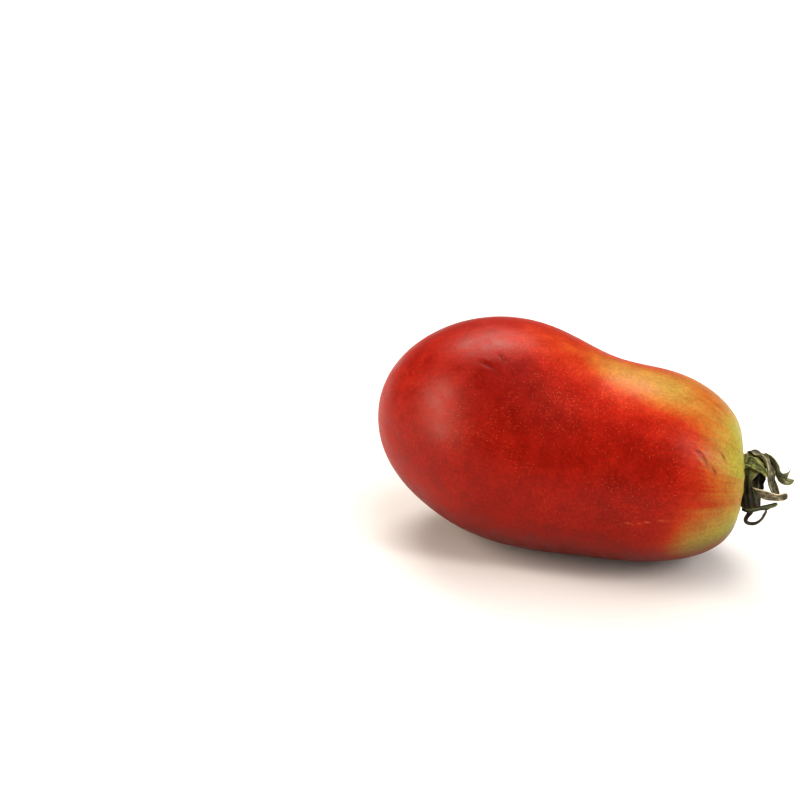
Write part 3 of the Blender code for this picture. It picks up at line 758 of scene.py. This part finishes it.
def cupFinish():
    # the dried cup: colours by height round it, partly painted light and shade, pale crests, and painted shade
    # inside and where it meets the fruit
    c = cupColours
    finish, tree, shader = newFinish("calyxBaseDry")
    where = put(tree, "ShaderNodeTexCoord").outputs["Object"]
    blotch = noise(tree, where, c["blotches"], 4.0, 0.6)
    streak = noise(tree, attribute(tree, "lengthwise", "Vector"), c["streaks"], 5.0, 0.65)
    fine = noise(tree, where, c["fine"], 4.0, 0.65)
    # olive on top as painted light, darker downwards as painted shade, and brown below, the cup's own colour; then
    # streaks
    litTopToShadeAndBrown = plus(tree, attribute(tree, "litTopToShadeAndBrown"), swayed(tree, blotch, 0.5))
    colour = ramp(tree, litTopToShadeAndBrown, [(0.03, c["olive"]), (0.26, c["moss"]), (0.52, c["dark"]), (0.84, c["brown"])])
    colour = blendColour(tree, times(tree, between(tree, streak, 0.47, 0.7), 0.28), colour, c["olive"])
    colour = blendColour(tree, between(tree, streak, 0.55, 0.35, 0.0, 0.6), colour, c["dark"])
    # pale on the crests of the folds and on the high scallops
    crest = between(tree, attribute(tree, "ribMask"), 0.62, 0.95, 0.0, 0.55)
    crest = times(tree, crest, between(tree, blotch, 0.38, 0.58, 0.3, 1.0))
    colour = blendColour(tree, crest, colour, c["pale"])
    high = times(tree, attribute(tree, "high"), between(tree, blotch, 0.35, 0.65))
    colour = blendColour(tree, times(tree, high, 0.6), colour, c["pale"])
    # painted shade on the foot against the fruit and over the inside, and the cup's own pale lip
    for mask, strength, other in (("foot", 0.85, "dark"), ("insideShade", 0.92, "insideShade"), ("lip", 0.75, "pale")):
        colour = blendColour(tree, times(tree, attribute(tree, mask), strength), colour, c[other])
    rough = between(tree, blotch, 0.3, 0.7, c["smoothest"], c["roughest"])
    height = plus(tree, streak, times(tree, fine, 0.3))
    connect(tree, shader, colour, rough, height, c["bumpStrength"], c["bumpDepth"])
    return finish


stubColours = {
    "bark": (0.12, 0.10, 0.06), "rim": (0.36, 0.33, 0.21), "sunkenShade": (0.020, 0.016, 0.010),
    "blotches": 1400.0, "smoothest": 0.6, "roughest": 0.85, "bumpStrength": 0.9, "bumpDepth": 0.0002,
}


def stubFinish():
    # bark round the side, a pale broken rim, and painted shade in the sunken middle
    c = stubColours
    finish, tree, shader = newFinish("stalkStubDry")
    where = put(tree, "ShaderNodeTexCoord").outputs["Object"]
    blotch = noise(tree, where, c["blotches"], 4.0, 0.6)
    rim = attribute(tree, "rim")
    colour = blendColour(tree, between(tree, rim, 0.1, 0.6), c["bark"], c["rim"])
    # painted shade in the sunken middle of the broken end
    colour = blendColour(tree, between(tree, rim, 0.75, 0.95), colour, c["sunkenShade"])
    colour = blendColour(tree, between(tree, blotch, 0.45, 0.65, 0.0, 0.5), colour, c["bark"])
    rough = between(tree, blotch, 0.3, 0.7, c["smoothest"], c["roughest"])
    connect(tree, shader, colour, rough, blotch, c["bumpStrength"], c["bumpDepth"])
    return finish


fuzzColours = {"dark": (0.12, 0.11, 0.06), "pale": (0.42, 0.40, 0.26), "blotches": 900.0, "roughness": 0.7}


def fuzzFinish():
    # fine hairs between dark and pale, by slow blotches
    c = fuzzColours
    finish, tree, shader = newFinish("calyxFuzz")
    where = put(tree, "ShaderNodeTexCoord").outputs["Object"]
    blotch = noise(tree, where, c["blotches"], 3.0)
    tree.links.new(ramp(tree, blotch, [(0.35, c["dark"]), (0.65, c["pale"])]), shader.inputs["Base Color"])
    shader.inputs["Roughness"].default_value = c["roughness"]
    return finish


print("mixing the finishes")
fruit.data.materials.append(skinFinish())
cup.data.materials.append(cupFinish())
stub.data.materials.append(stubFinish())
fuzz.data.materials.append(fuzzFinish())
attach(fuzz, "root")
for node, leaf in leaves.items():
    leaf.data.materials.append(sepalFinish(node + "Dry", sepalColours[node]))

for piece, node, slotName in [(fruit, "fruit", "ripe_skin"), (cup, "calyx_cup", "dark_calyx"),
                              (stub, "pedicel", "dry_stalk")]:
    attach(piece, "root")
    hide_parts(node)
for node, leaf in leaves.items():
    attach(leaf, "root")
    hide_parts(node)


# metres, and watts for the lights
studio = {
    "contrast": "High Contrast", "exposure": 0.0,
    "floorSide": 0.96, "floorColour": (0.62, 0.62, 0.622), "floorRoughness": 0.6, "floorSpecular": 0.1,
    "worldColour": (1.0, 1.0, 1.0), "worldStrength": 0.18,
    "backdropStrength": 1.0,     # how white the space behind the floor looks; it lights nothing
    "lightsAim": 0.02,           # every light points at a spot this high over the middle of the floor
    # direction from that spot, distance, width, height, roll (degrees), power, colour, whether it is mirrored
    "lights": [
        ("overheadLight", (0.36, 0.04, 0.93), 0.75, 0.80, 0.70, 0, 3.75, (1.0, 0.985, 0.955), False),
        ("backLight", (-0.31, 0.50, 0.78), 0.75, 0.52, 0.24, 0, 4.0, (1.0, 0.94, 0.87), True),
        ("leftLight", (-0.77, -0.51, 0.38), 0.70, 0.24, 0.66, 35, 5.0, (1.0, 0.84, 0.70), True),
        ("rightLight", (0.76, -0.22, 0.61), 0.70, 0.10, 0.26, 0, 1.8, (1.0, 0.94, 0.86), True),
        ("fillLight", (0.80, -0.42, 0.42), 0.80, 0.60, 0.50, 0, 1.7, (1.0, 0.98, 0.95), False),
    ],
}

# degrees for the angles, mm for the lens and sensor, metres for the rest; the aim is moved right and up in the view
camera = {
    "elevation": 27.0, "yaw": 20.0, "lens": 85.0, "sensor": 36.0, "distance": 0.3557, "nearest": 0.01,
    "aimHeight": 0.018, "aimRight": -0.0266, "aimUp": 0.00947,
}

print("setting the studio")
floorMesh = bpy.data.meshes.new("floor")
half = 0.5 * studio["floorSide"]
corners = [(-half, -half, 0), (half, -half, 0), (half, half, 0), (-half, half, 0)]
floorMesh.from_pydata(corners, [], [(0, 1, 2, 3)])
floor = bpy.data.objects.new("floor", floorMesh)
bpy.context.scene.collection.objects.link(floor)
floorFinish, floorTree, floorShader = newFinish("paleFloor")
floorShader.inputs["Base Color"].default_value = (*studio["floorColour"], 1)
floorShader.inputs["Roughness"].default_value = studio["floorRoughness"]
floorShader.inputs["Specular IOR Level"].default_value = studio["floorSpecular"]
floor.data.materials.append(floorFinish)

world = bpy.data.worlds.new("studioWorld")
world.use_nodes = True
world.node_tree.nodes["Background"].inputs["Color"].default_value = (*studio["worldColour"], 1)
# rays straight from the lens see the backdrop's white, all others the soft grey light
seen = put(world.node_tree, "ShaderNodeLightPath").outputs["Is Camera Ray"]
strength = between(world.node_tree, seen, 0.0, 1.0, studio["worldStrength"], studio["backdropStrength"])
world.node_tree.links.new(strength, world.node_tree.nodes["Background"].inputs["Strength"])
bpy.context.scene.world = world

for name, direction, distance, width, height, roll, power, colour, mirrored in studio["lights"]:
    data = bpy.data.lights.new(name, "AREA")
    data.shape = "RECTANGLE"
    data.size, data.size_y = width, height
    data.energy = power
    data.color = colour
    lamp = bpy.data.objects.new(name, data)
    lamp.location = Vector((0, 0, studio["lightsAim"])) + Vector(direction).normalized() * distance
    facing = (-Vector(direction)).to_track_quat("-Z", "Y") @ Quaternion((0, 0, 1), math.radians(roll))
    lamp.rotation_euler = facing.to_euler()
    lamp.visible_glossy = mirrored     # a light that isn't mirrored leaves no patch of shine
    bpy.context.scene.collection.objects.link(lamp)

yaw, elevation = math.radians(camera["yaw"]), math.radians(camera["elevation"])
level = math.cos(elevation)
forward = Vector((-math.sin(yaw) * level, math.cos(yaw) * level, -math.sin(elevation)))
rightward = Vector((math.cos(yaw), math.sin(yaw), 0))
upward = rightward.cross(forward)
aim = Vector((0, 0, camera["aimHeight"])) + rightward * camera["aimRight"] + upward * camera["aimUp"]
lensData = bpy.data.cameras.new("camera")
lensData.lens = camera["lens"]
lensData.sensor_width = camera["sensor"]
lensData.clip_start = camera["nearest"]
viewer = bpy.data.objects.new("camera", lensData)
viewer.location = aim - forward * camera["distance"]
viewer.rotation_euler = forward.to_track_quat("-Z", "Y").to_euler()
bpy.context.scene.collection.objects.link(viewer)
bpy.context.scene.camera = viewer
bpy.context.scene.view_settings.view_transform = "Standard"
bpy.context.scene.view_settings.look = studio["contrast"]
bpy.context.scene.view_settings.exposure = studio["exposure"]

print("finishing")
